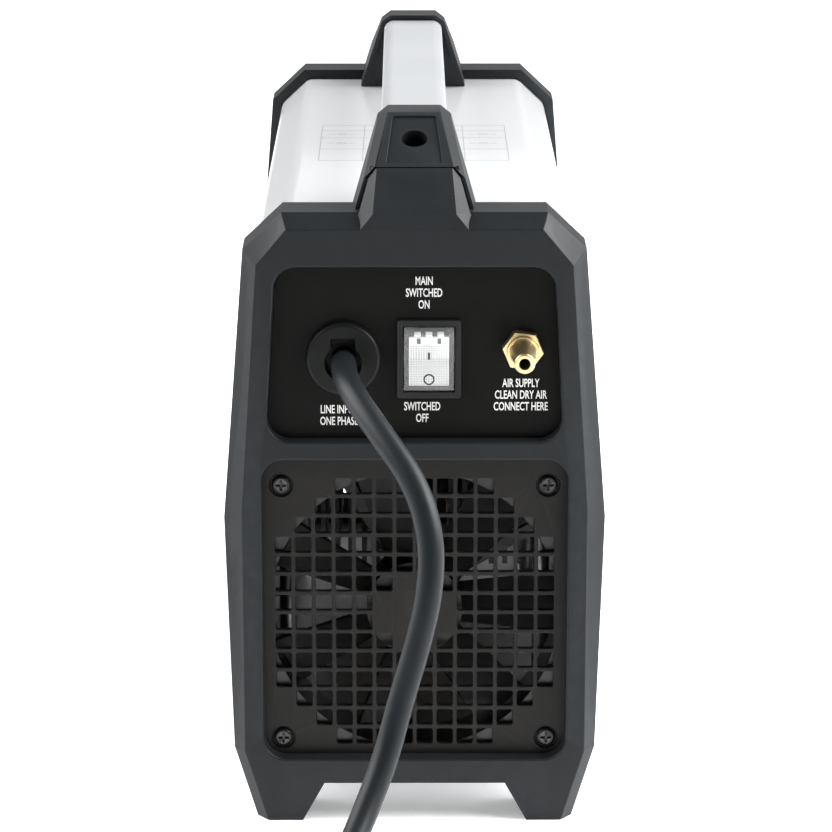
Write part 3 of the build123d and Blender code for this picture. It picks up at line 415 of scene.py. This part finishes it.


# the second colour of each moulded material is its pale edge tone: partly rubbed wear, partly painted
# highlight
materials = {
    "case_plastic": mouldedPlastic("casePlastic", (0.0100, 0.0122, 0.0140), (0.04, 0.045, 0.05), 0.46,
                                   dust=0.01, Specular_IOR_Level=0.20),
    "panel_black": mouldedPlastic("panelBlack", (0.0045, 0.0045, 0.0040), (0.015, 0.015, 0.015), 0.46,
                                  grain=2600.0, depth=0.00001, rubAndHighlight=0.2, dust=0.0, Specular_IOR_Level=0.08),
    "grille_plastic": mouldedPlastic("grillePlastic", (0.0115, 0.0109, 0.0101), (0.04, 0.038, 0.036), 0.5,
                                     dust=0.01, Specular_IOR_Level=0.16),
    "cover_paint": coverPaint(),
    "grip_silver": gripSilver(),
    "steel": brushedMetal("zincSteel", (0.48, 0.49, 0.5), 0.36),
    "black_screw": mouldedPlastic("blackScrew", (0.012, 0.012, 0.013), (0.12, 0.12, 0.12), 0.3,
                                  grain=3000.0, depth=0.000006, rubAndHighlight=0.8, Metallic=0.6),
    "fan_plastic": mouldedPlastic("fanPlastic", (0.012, 0.012, 0.012), (0.03, 0.03, 0.03), 0.36,
                                  grain=2600.0, depth=0.00001, rubAndHighlight=0.2),
    "brass": brushedMetal("brass", (0.74, 0.60, 0.33), 0.32, stretch=(1.0, 1.0, 1.0), scale=900.0,
                          spread=0.12),
    "gland_plastic": mouldedPlastic("glandPlastic", (0.0055, 0.006, 0.006), (0.03, 0.033, 0.035), 0.4,
                                    grain=2200.0, depth=0.000012, dust=0.01, Specular_IOR_Level=0.16),
    "switch_plastic": mouldedPlastic("switchPlastic", (0.009, 0.009, 0.009), (0.04, 0.04, 0.04), 0.42,
                                     grain=2400.0, depth=0.000012, dust=0.02, Specular_IOR_Level=0.25),
    "rocker_clear": clearPlastic(),
    "knob_plastic": mouldedPlastic("knobPlastic", (0.014, 0.014, 0.015), (0.05, 0.05, 0.05), 0.4,
                                   grain=2000.0, depth=0.000015),
    "button_plastic": mouldedPlastic("buttonPlastic", (0.32, 0.03, 0.02), (0.45, 0.1, 0.08), 0.33,
                                     grain=2000.0, depth=0.00001),
    "lens": mouldedPlastic("displayLens", (0.012, 0.003, 0.003), (0.03, 0.01, 0.01), 0.12, grain=400.0,
                           depth=0.000002, rubAndHighlight=0.0, dust=0.01, Specular_IOR_Level=0.2),
    "lamp": mouldedPlastic("lampLens", (0.6, 0.42, 0.05), (0.7, 0.5, 0.1), 0.12, grain=500.0, depth=0.000004,
                           rubAndHighlight=0.0, Coat_Weight=0.4),
    "board": circuitBoard(),
    "aluminium": mouldedPlastic("blackAnodised", (0.02, 0.02, 0.022), (0.2, 0.2, 0.2), 0.35, grain=1800.0,
                                depth=0.000008, Metallic=0.7),
    "ferrite": mouldedPlastic("ferrite", (0.03, 0.03, 0.032), (0.08, 0.08, 0.08), 0.6),
    "winding": copperWinding(),
    "can": mouldedPlastic("canSleeve", (0.012, 0.02, 0.05), (0.05, 0.06, 0.1), 0.25, grain=700.0,
                          depth=0.000008, rubAndHighlight=0.2),
    "hose": mouldedPlastic("gasHose", (0.02, 0.02, 0.022), (0.05, 0.05, 0.05), 0.45),
    "cord": mouldedPlastic("cordSheath", (0.0105, 0.0130, 0.0150), (0.05, 0.055, 0.06), 0.42, grain=900.0,
                           depth=0.00003, rubAndHighlight=0.0, dust=0.01, Specular_IOR_Level=0.18),
}
whiteInk = mouldedPlastic("whiteInk", (0.8, 0.8, 0.79), (0.8, 0.8, 0.8), 0.5, grain=2500.0, depth=0.000004,
                          rubAndHighlight=0.0, dust=0.0)
greyInk = mouldedPlastic("greyInk", (0.26, 0.27, 0.28), (0.3, 0.3, 0.3), 0.5, grain=2500.0, depth=0.000004,
                         rubAndHighlight=0.0, dust=0.0)
blackInk = mouldedPlastic("blackInk", (0.01, 0.01, 0.01), (0.02, 0.02, 0.02), 0.4, grain=2500.0,
                          depth=0.000004, rubAndHighlight=0.0, dust=0.0)
darkRecess = mouldedPlastic("darkRecess", (0.05, 0.052, 0.055), (0.06, 0.06, 0.06), 0.6, grain=1600.0,
                            depth=0.000005, rubAndHighlight=0.0, dust=0.0)
studGrey = mouldedPlastic("studGrey", (0.42, 0.43, 0.43), (0.5, 0.5, 0.5), 0.3, grain=1600.0,
                          depth=0.000005, rubAndHighlight=0.0, dust=0.0)
rockerWhite = mouldedPlastic("rockerWhite", (0.92, 0.93, 0.93), (0.8, 0.8, 0.8), 0.45, grain=1600.0,
                             depth=0.00001, rubAndHighlight=0.0, dust=0.0)
print("materials ready")


# every CAD node takes the finish of its slot, also where a softened copy stands for it later

nodeSlots = {part["node"]: part["material_slot"] for part in frame["record"]["subparts"]}
for node, slotName in nodeSlots.items():
    piece = frame["nodes"][node]
    piece.data.materials.clear()
    piece.data.materials.append(materials[slotName])
print("CAD nodes painted")


# mains cord

mainsCord = {
    "diameter": 0.010,
    "length": 1.72,
    "route": [
        (-0.0276, -0.1720, 0.1883), (-0.0276, -0.1940, 0.1883), (-0.0225, -0.2155, 0.1840),
        (-0.0120, -0.2330, 0.1735), (0.0004, -0.2465, 0.1590), (0.0063, -0.2545, 0.1405),
        (0.0055, -0.2595, 0.1200), (0.0006, -0.2615, 0.0995), (-0.0055, -0.2625, 0.0790),
        (-0.0106, -0.2665, 0.0595), (-0.0182, -0.2775, 0.0420), (-0.0262, -0.2940, 0.0280),
        (-0.0340, -0.3130, 0.0165), (-0.0415, -0.3330, 0.0083), (-0.0470, -0.3480, 0.0052),
        (-0.0525, -0.3620, 0.0052)],
    "outerTurn": 0.0652,
    "innerTurn": 0.0548,
    "lift": 0.0102,          # from the lower turns to the upper ones
    "pointsPerTurn": 18,
    "coilFrom": 156.8,       # degrees round the coil where the cord joins it
    "coilTo": 1410.0,        # and where it leaves, three turns on and a bit
    "inward": (456.0, 510.0),
    "upward": (748.0, 812.0),
    "outward": (1050.0, 1112.0),
    "beforeCoil": 0.040,     # straight run from the route's end to the coil
    "offCoil": 0.014,        # and from the coil to the point before the plug
    "toPlug": 0.040,
    "inPlug": 0.004,
}


def eased(angle, span):
    # 0 before the span, 1 after it, and a smooth step in between
    share = min(1.0, max(0.0, (angle - span[0]) / (span[1] - span[0])))
    return share * share * (3 - 2 * share)


def coilPoints():
    # neat turns: outer and inner on the floor, then inner and outer on top of them
    route, spec = [Vector(point) for point in mainsCord["route"]], mainsCord
    along = (route[-1] - route[-2]).normalized()
    along.z = 0
    along.normalize()
    left = Vector((-along.y, along.x, 0))
    centre = route[-1] + along * spec["beforeCoil"] + left * spec["outerTurn"]
    step = 360 / spec["pointsPerTurn"]
    grow = 1 / (0.75 + 0.25 * cos(radians(step)))      # a spline runs inside its own points
    points = []
    angle = spec["coilFrom"] + step / 2
    while angle < spec["coilTo"]:
        inner = eased(angle, spec["inward"]) - eased(angle, spec["outward"])
        radius = grow * (spec["outerTurn"] + inner * (spec["innerTurn"] - spec["outerTurn"]))
        height = route[-1].z + spec["lift"] * eased(angle, spec["upward"])
        points.append(Vector((centre.x + radius * cos(radians(angle)),
                              centre.y + radius * sin(radians(angle)), height)))
        angle += step
    leaving = radians(spec["coilTo"])
    out = Vector((cos(leaving), sin(leaving), 0))
    onward = Vector((-sin(leaving), cos(leaving), 0))
    tangent = Vector((centre.x, centre.y, route[-1].z + spec["lift"])) + out * spec["outerTurn"]
    return points + [tangent + onward * spec["offCoil"],
                     tangent + onward * (spec["toPlug"] + spec["inPlug"])]


def makeCord():
    points = [Vector(point) for point in mainsCord["route"]] + coilPoints()
    bpy.ops.object.select_all(action="DESELECT")
    bpy.ops.curve.primitive_nurbs_path_add(location=(0, 0, 0))
    cord = bpy.context.object
    curve = cord.data
    curve.splines.clear()
    spline = curve.splines.new("NURBS")
    spline.points.add(len(points) - 1)
    for place, point in zip(spline.points, points):
        place.co = (*point, 1)
    spline.order_u = 3
    spline.use_endpoint_u = True
    spline.resolution_u = 8
    curve.dimensions = "3D"
    curve.bevel_depth = mainsCord["diameter"] / 2
    curve.bevel_resolution = 6
    curve.use_fill_caps = True
    finishPiece(cord, "mainsCord", materials["cord"])
    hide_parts("mains_cord", "mains_cord_coil")
    return cord


cord = makeCord()
print("cord laid")


# softened copies of the moulded and turned pieces: the CAD shape with its edges rounded

softening = {
    # node: (edge radius, segments, least angle of an edge that is rounded)
    "rear_handle_end": (0.00025, 2, 30),
    "front_handle_end": (0.00025, 2, 30),
    "fan_grille": (0.00035, 2, 40),
    "fan_frame": (0.0004, 2, 40),
    "switch_housing": (0.0004, 2, 40),
    "grille_screws": (0.00018, 2, 40),
    "cord_gland": (0.0003, 2, 40),
    "gas_inlet": (0.00025, 2, 35),
    "gas_inlet_nut": (0.0003, 2, 35),
    "socket_panel": (0.0004, 2, 40),
    "socket_panel_screws": (0.00018, 2, 40),
    "torch_socket_collar": (0.0004, 2, 40),
    "torch_socket": (0.0003, 2, 35),
    "work_socket_collar": (0.0004, 2, 40),
    "work_socket": (0.0004, 2, 35),
    "current_knob": (0.0002, 2, 40),
    "mains_plug": (0.0010, 3, 25),
    "plug_blades": (0.0004, 2, 40),
    "button_housing": (0.0002, 2, 40),
    "push_button": (0.0002, 2, 40),
}


def softened(node, radius, segments, angle):
    # merge the CAD triangles into faces first, so that only real edges are rounded
    piece = frame["nodes"][node].copy()
    piece.data = frame["nodes"][node].data.copy()
    piece.parent = None
    piece.matrix_world = Matrix.Identity(4)
    bpy.context.scene.collection.objects.link(piece)
    choose(piece)
    bpy.ops.mesh.customdata_custom_splitnormals_clear()
    bpy.ops.object.mode_set(mode="EDIT")
    bpy.ops.mesh.select_all(action="SELECT")
    bpy.ops.mesh.remove_doubles(threshold=0.000002)
    bpy.ops.mesh.dissolve_limited(angle_limit=radians(0.6))
    bpy.ops.object.mode_set(mode="OBJECT")
    modify(piece, "BEVEL", limit_method="ANGLE", angle_limit=radians(angle), width=radius,
           segments=segments, use_clamp_overlap=False, loop_slide=False)
    smooth(piece)
    # flat faces stay flat beside their rounded edges
    modify(piece, "WEIGHTED_NORMAL", keep_sharp=True)
    body = body_of(frame["nodes"][node])[0]
    finishPiece(piece, node + "Soft", materials[nodeSlots[node]], body)
    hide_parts(node)
    return piece


softPieces = {node: softened(node, *settings) for node, settings in softening.items()}
print("edges rounded on", len(softPieces), "pieces")


# printed words and marks, raised a hair above the surface as thick ink

printing = {
    "capHeight": 0.0033,
    "capShare": 0.70,        # of the font's size
    "squeeze": 0.60,
    "boldness": 0.0138,
    "thickness": 0.00005,
    "leading": 0.0047,
    "rear": [
        # lines, centre across, height of the middle of the block
        (("MAIN", "SWITCHED", "ON"), 0.0037, 0.2153),
        (("SWITCHED", "OFF"), 0.0030, 0.1675),
        (("AIR SUPPLY", "CLEAN DRY AIR", "CONNECT HERE"), 0.0414, 0.1745),
        (("LINE INPUT", "ONE PHASE"), -0.0295, 0.1663),
    ],
    "front": [
        (("CURRENT",), 0.026, 0.2035),
        (("GAS TEST",), -0.024, 0.1954),
        (("POWER",), 0.014, 0.2145),
        (("HEAT",), 0.026, 0.2145),
        (("FAULT",), 0.038, 0.2145),
    ],
}


def printLine(text, x, y, z, facing):
    # facing is 0 for print that is read from behind the case and 180 for print on the torch end
    bpy.ops.object.select_all(action="DESELECT")
    bpy.ops.object.text_add(location=(x, y, z), rotation=(radians(90), 0, radians(facing)))
    line = bpy.context.object
    line.data.body = text
    line.data.align_x = "CENTER"
    line.data.align_y = "CENTER"
    line.data.size = printing["capHeight"] / printing["capShare"]
    line.data.offset = printing["boldness"] * line.data.size
    line.data.resolution_u = 3
    line.data.extrude = printing["thickness"] / 2
    line.scale.x = printing["squeeze"]
    choose(line)
    bpy.ops.object.convert(target="MESH")
    applyPlace(line)
    return line


def printBlock(lines, x, z, y, facing):
    made = []
    top = z + printing["leading"] * (len(lines) - 1) / 2
    for row, text in enumerate(lines):
        made.append(printLine(text, x, y, top - row * printing["leading"], facing))
    return made


def printFace(end, face, facing):
    words = []
    for lines, x, z in printing[end]:
        words += printBlock(lines, x, z, face, facing)
    joined(words, end + "Print", whiteInk)


printFace("rear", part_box("rear_panel")[0][1], 0)
printFace("front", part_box("front_panel")[1][1], 180)
print("words printed")


# rocker: a white core with a field of small studs and two marks, under a clear shell

rockerSpec = {
    "pivot": (0.0056, -0.1750, 0.1893),
    "restTilt": 9.0,
    "faceMiddle": 0.0020,    # the face is a shallow V: this far off the pivot in the middle
    "faceSlope": 0.0020 / 0.0120,
    "coreHalf": 0.0078,
    "coreSink": 0.0016,      # the core lies this far under the clear face
    # spans up the face, and from the face down
    "lowerCore": ((-0.0107, 0.0), (0.0016, 0.0052)),
    "upperCore": ((0.0, 0.0062), (0.0016, 0.0052)),
    "lampBlock": ((0.0064, 0.0098), (0.0009, 0.0052)),
    "tab": ((0.0099, 0.0108), (0.0011, 0.0050)),
    "tabsFrom": (-0.0058, -0.0013, 0.0032),
    "tabWidth": 0.0026,
    "coreRound": 0.00015,
    "gap": ((0.0100, 0.0107), (0.0017, 0.0040)),
    "gapsFrom": (-0.0079, -0.0034, 0.0011, 0.0056),
    "gapWidth": 0.0021,
    "pocket": ((0.0070, 0.0094), (0.0008, 0.0012)),
    "pocketsFrom": (-0.0047, 0.0033),
    "pocketWidth": 0.0014,
    "studPitch": 0.00098,
    "studColumns": 15,
    "studRows": 17,
    "studsFrom": -0.0101,
    "studFoot": 0.00030,
    "studRise": 0.00022,
    "studRoot": 0.00005,
    "barHalf": 0.00042,
    "bar": ((0.0002, 0.0034), (-0.00006, 0.0002)),
    "ringRadius": 0.0019,
    "ringLine": 0.00030,
    "ringAt": -0.0076,
    "ringFlatness": 0.25,
}


def rockerPlace(across, along, out):
    # along runs up the rocker's face and out stands off its pivot, before the rest tilt
    spec = rockerSpec
    tilt = radians(spec["restTilt"])
    x, y, z = spec["pivot"]
    return Vector((x + across, y - out * cos(tilt) - along * sin(tilt),
                   z - out * sin(tilt) + along * cos(tilt)))


def faceHeight(along):
    return rockerSpec["faceMiddle"] + rockerSpec["faceSlope"] * abs(along)


def rockerBlock(acrossSpan, alongSpan, outSpan, name):
    # a block on the rocker, which follows the slope of its face
    bpy.ops.object.select_all(action="DESELECT")
    bpy.ops.mesh.primitive_cube_add(size=2)
    block = bpy.context.object
    for vertex in block.data.vertices:
        sideX, sideY, sideZ = (0 if part < 0 else 1 for part in vertex.co)
        along = alongSpan[sideZ]
        vertex.co = rockerPlace(acrossSpan[sideX], along, faceHeight(along) - outSpan[sideY])
    block.name = name
    choose(block)
    bpy.ops.object.mode_set(mode="EDIT")
    bpy.ops.mesh.select_all(action="SELECT")
    bpy.ops.mesh.normals_make_consistent(inside=False)
    bpy.ops.object.mode_set(mode="OBJECT")
    return block


def rockerRow(kind, starts, width):
    # one block at each start, side by side
    return [rockerBlock((left, left + rockerSpec[width]), *rockerSpec[kind], kind)
            for left in rockerSpec[starts]]


def makeRockerCore():
    half = rockerSpec["coreHalf"]
    parts = [rockerBlock((-half, half), *rockerSpec[kind], kind)
             for kind in ("lowerCore", "upperCore", "lampBlock")]
    parts += rockerRow("tab", "tabsFrom", "tabWidth")
    for part in parts:
        modify(part, "BEVEL", limit_method="ANGLE", angle_limit=radians(40),
               width=rockerSpec["coreRound"], segments=2)
    core = joined(parts, "rockerCore", rockerWhite, "rocker")
    smooth(core)
    return core


def makeStuds():
    # rows of small pyramids that scatter the light under the clear face
    spec = rockerSpec
    middle = (spec["studColumns"] - 1) / 2
    studs = [((column - middle) * spec["studPitch"], spec["studsFrom"] + row * spec["studPitch"])
             for row in range(spec["studRows"]) for column in range(spec["studColumns"])]
    mesh = bpy.data.meshes.new("rockerStuds")
    shape = bmesh.new()

    def square(across, along, half, out):
        return [shape.verts.new(rockerPlace(across + a * half, along + b * half, out))
                for a, b in ((-1, -1), (1, -1), (1, 1), (-1, 1))]

    for across, along in studs:
        level = faceHeight(along) - spec["coreSink"]
        base = square(across, along, spec["studFoot"], level - spec["studRoot"])
        tip = square(across, along, spec["studFoot"] / 2, level + spec["studRise"])
        shape.faces.new(tip)
        shape.faces.new(base[::-1])
        for corner in range(4):
            after = (corner + 1) % 4
            shape.faces.new((base[corner], base[after], tip[after], tip[corner]))
    bmesh.ops.recalc_face_normals(shape, faces=shape.faces)
    shape.to_mesh(mesh)
    shape.free()
    piece = bpy.data.objects.new("rockerStuds", mesh)
    bpy.context.scene.collection.objects.link(piece)
    return finishPiece(piece, "rockerStuds", studGrey, "rocker")


def makeRockerMarks():
    # the bar and the ring, the usual marks for on and off
    spec = rockerSpec
    bar = rockerBlock((-spec["barHalf"], spec["barHalf"]), *spec["bar"], "bar")
    bpy.ops.object.select_all(action="DESELECT")
    bpy.ops.mesh.primitive_torus_add(major_radius=spec["ringRadius"], minor_radius=spec["ringLine"],
                                     major_segments=40, minor_segments=8, location=(0, 0, 0))
    ringMark = bpy.context.object
    for vertex in ringMark.data.vertices:
        along = spec["ringAt"] + vertex.co.y
        out = faceHeight(along) + spec["ringFlatness"] * vertex.co.z
        vertex.co = rockerPlace(vertex.co.x, along, out)
    return joined([bar, ringMark], "rockerMarks", blackInk, "rocker")


def makeRockerSlots():
    # shadowed recesses seen through the top of the rocker
    parts = rockerRow("gap", "gapsFrom", "gapWidth") + rockerRow("pocket", "pocketsFrom", "pocketWidth")
    return joined(parts, "rockerSlots", darkRecess, "rocker")


def makeRockerShell():
    shell = softened("switch_rocker", 0.00035, 2, 25)
    shell.name = "rockerShell"
    return shell


makeRockerShell()
makeRockerCore()
makeStuds()
makeRockerMarks()
makeRockerSlots()
print("rocker built up")


# ruled table on top of the cover, without words

tableSpec = {
    "left": -0.040, "right": 0.040, "near": -0.047, "far": 0.034, "line": 0.00030, "raise": 0.00004,
    "columns": (-0.0215, 0.0215), "rows": (-0.0215, 0.0045, 0.0215),
    "symbols": ((0.030, 0.0130), (0.030, -0.0080), (-0.031, 0.0130), (-0.031, -0.0080)),
    # two short rules, one above the other, with a dash at each side
    "ruleHalf": 0.0022, "ruleFrom": 0.0011, "ruleTo": 0.0015, "dashFrom": 0.0030, "dashTo": 0.0060,
}


def flatBar(low, high, top):
    # a rule of ink from one corner to the other
    bpy.ops.object.select_all(action="DESELECT")
    bpy.ops.mesh.primitive_cube_add(size=1, location=((low[0] + high[0]) / 2, (low[1] + high[1]) / 2, top),
                                    scale=(high[0] - low[0], high[1] - low[1], 2 * tableSpec["raise"]))
    bar = bpy.context.object
    applyPlace(bar)
    return bar


def makeTable():
    spec, half = tableSpec, tableSpec["line"] / 2
    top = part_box("cover")[1][2]
    bars = []
    for x in (spec["left"], *spec["columns"], spec["right"]):
        bars.append(flatBar((x - half, spec["near"]), (x + half, spec["far"]), top))
    for y in (spec["near"], *spec["rows"], spec["far"]):
        bars.append(flatBar((spec["left"], y - half), (spec["right"], y + half), top))
    wide, low, high = spec["ruleHalf"], spec["ruleFrom"], spec["ruleTo"]
    start, end = spec["dashFrom"], spec["dashTo"]
    for x, y in spec["symbols"]:
        bars.append(flatBar((x - wide, y - high), (x + wide, y - low), top))
        bars.append(flatBar((x - wide, y + low), (x + wide, y + high), top))
        bars.append(flatBar((x - end, y - half), (x - start, y + half), top))
        bars.append(flatBar((x + start, y - half), (x + end, y + half), top))
    return joined(bars, "coverTable", greyInk)


makeTable()
print("table ruled")


# floor, lights and surroundings

studio = {
    "floorSize": 14.0,
    "floorGlow": 0.30,
    "surround": 0.17,
    # name: place, aim, width, depth, power
    "lamps": {
        "farBox": ((0.0, 2.4, 1.3), (0.0, 0.1, 0.2), 2.8, 1.2, 8.0),
        "leftBox": ((-1.6, 0.30, 1.25), (0.0, 0.0, 0.15), 1.7, 2.0, 72.0),
        "rightBox": ((1.6, 0.30, 1.25), (0.0, 0.0, 0.15), 1.7, 2.0, 96.0),
        # these two brighten the floor that the side bevels mirror
        "leftPool": ((-0.80, -0.38, 0.60), (-0.66, -0.36, 0.0), 0.5, 0.5, 4.0),
        "rightPool": ((0.80, -0.38, 0.60), (0.66, -0.36, 0.0), 0.5, 0.5, 13.0),
    },
}


def floorMaterial():
    material, tree, shader = newMaterial("paleFloor", Roughness=0.9, Specular_IOR_Level=0.1)
    tone = useGroup(tree, grainGroup, Colour=(0.92, 0.92, 0.92, 1), Grain_Scale=30.0, Tone_Spread=0.01,
                    Roughness=0.9, Gloss_Spread=0.02)
    tree.links.new(tone.outputs["Colour"], shader.inputs["Base Color"])
    shader.inputs["Emission Color"].default_value = (1, 1, 1, 1)
    shader.inputs["Emission Strength"].default_value = studio["floorGlow"]
    return material


def addStudio():
    bpy.ops.object.select_all(action="DESELECT")
    bpy.ops.mesh.primitive_plane_add(size=studio["floorSize"], location=(0, 0, 0))
    floor = bpy.context.object
    floor.name = "paleFloor"
    floor.data.materials.append(floorMaterial())
    for name, (place, aim, width, depth, power) in studio["lamps"].items():
        direction = Vector(aim) - Vector(place)
        bpy.ops.object.light_add(type="AREA", location=place,
                                 rotation=direction.to_track_quat("-Z", "Y").to_euler())
        lamp = bpy.context.object
        lamp.name = name
        lamp.data.shape = "RECTANGLE"
        lamp.data.size, lamp.data.size_y = width, depth
        lamp.data.energy = power
    world = bpy.data.worlds.new("studioAir")
    bpy.context.scene.world = world
    world.use_nodes = True
    world.node_tree.nodes["Background"].inputs["Color"].default_value = (1, 1, 1, 1)
    world.node_tree.nodes["Background"].inputs["Strength"].default_value = studio["surround"]
    bpy.context.scene.view_settings.view_transform = "Standard"


addStudio()
print("studio lit")
